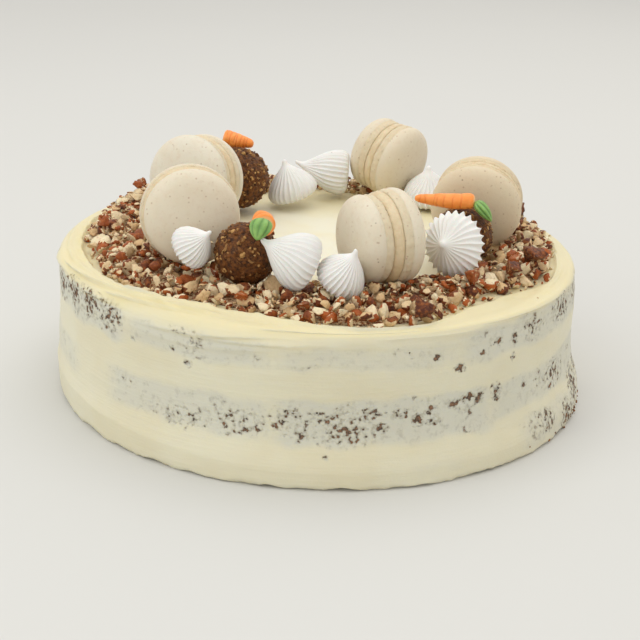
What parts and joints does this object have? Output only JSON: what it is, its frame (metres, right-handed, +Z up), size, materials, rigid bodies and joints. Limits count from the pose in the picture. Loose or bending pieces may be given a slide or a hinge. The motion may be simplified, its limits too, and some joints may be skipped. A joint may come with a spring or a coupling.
{
  "type": "carrot cake",
  "caption": "Round layered carrot cake in a thin cream coat, topped with chopped nuts, macarons, meringues, date balls and fondant carrots.",
  "frame": {"origin": "middle of the underside, at the level of the board that the cake stands on", "axes": "+Z up through the middle of the cake, -Y towards the side with the three front meringues, +X towards the side with the widest bare cream rim"},
  "size_m": [0.2326, 0.2326, 0.1035],
  "materials": {
    "sponge": null,
    "filling": null,
    "frosting": "smooth spread cream cheese frosting with a faint sheen; food",
    "pecans": "chopped nuts, ivory flesh and red-brown skin; food",
    "macaron": "smooth eggshell sheen with small dark specks; food",
    "macaron_filling": "soft buttercream; food",
    "date_ball": "sticky dark date paste with nut bits; food",
    "carrot": "orange fondant, softly shiny; food",
    "leaf": "green fondant; food",
    "meringue": "matt white baked meringue; food"
  },
  "bodies": {
    "root": {"carrot_back": "carrot", "carrot_front": "carrot", "carrot_leaf_back": "leaf", "carrot_leaf_front": "leaf", "carrot_leaf_right": "leaf", "carrot_right": "carrot", "date_ball_back": "date_ball", "date_ball_front": "date_ball", "date_ball_right": "date_ball", "filling_lower": "filling", "filling_upper": "filling", "frosting": "frosting", "macaron_back_back_shell": "macaron", "macaron_back_filling": "macaron_filling", "macaron_back_front_shell": "macaron", "macaron_back_left_back_shell": "macaron", "macaron_back_left_filling": "macaron_filling", "macaron_back_left_front_shell": "macaron", "macaron_front_back_shell": "macaron", "macaron_front_filling": "macaron_filling", "macaron_front_front_shell": "macaron", "macaron_front_left_back_shell": "macaron", "macaron_front_left_filling": "macaron_filling", "macaron_front_left_front_shell": "macaron", "macaron_right_back_shell": "macaron", "macaron_right_filling": "macaron_filling", "macaron_right_front_shell": "macaron", "meringue_back_large": "meringue", "meringue_back_left": "meringue", "meringue_back_right": "meringue", "meringue_front_large": "meringue", "meringue_front_left": "meringue", "meringue_front_right": "meringue", "meringue_front_small": "meringue", "pecan_ring": "pecans", "sponge_bottom": "sponge", "sponge_middle": "sponge", "sponge_top": "sponge"}
  },
  "joints": []
}
